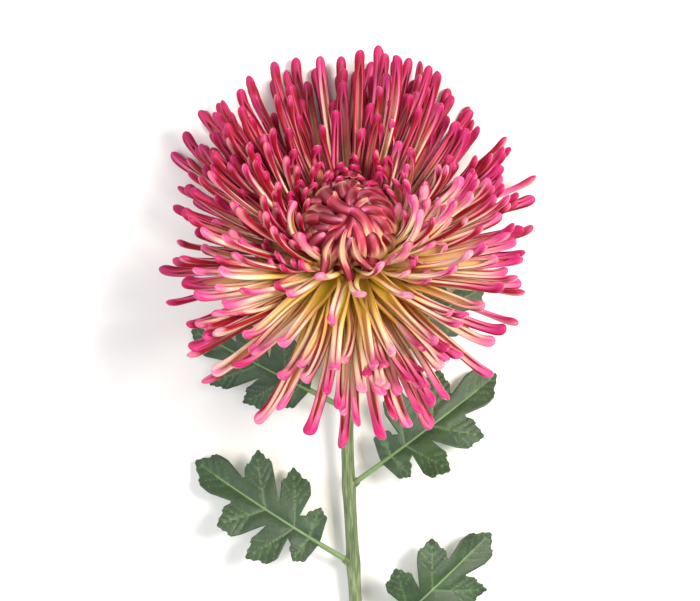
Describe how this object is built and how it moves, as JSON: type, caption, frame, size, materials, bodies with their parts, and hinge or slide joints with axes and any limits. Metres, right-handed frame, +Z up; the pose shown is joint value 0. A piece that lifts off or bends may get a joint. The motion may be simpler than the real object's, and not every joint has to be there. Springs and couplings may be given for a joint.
{
  "type": "spider chrysanthemum",
  "caption": "Cut spider chrysanthemum lying on its side: a bloom of long quilled florets round an incurved eye, on a leafy ridged stem.",
  "frame": {"origin": "on the surface the flower lies on, under the middle of its box", "axes": "+Z up; +Y along the stem from the bloom to the cut end; the bloom faces -Y and up"},
  "size_m": [0.1512, 0.4084, 0.1004],
  "materials": {
    "florets": "soft waxy petal, pink tips and cream to gold roots",
    "calyx": "matt green bracts",
    "stem": "satin grey-green, finely ridged",
    "leaf": "matt dark green, paler veins"
  },
  "bodies": {
    "root": {"bloom": "florets", "calyx": "calyx", "stem": "stem", "leaf_1": "leaf", "leaf_2": "leaf", "leaf_3": "leaf", "leaf_4": "leaf", "leaf_5": "leaf", "leaf_6": "leaf"}
  },
  "joints": []
}
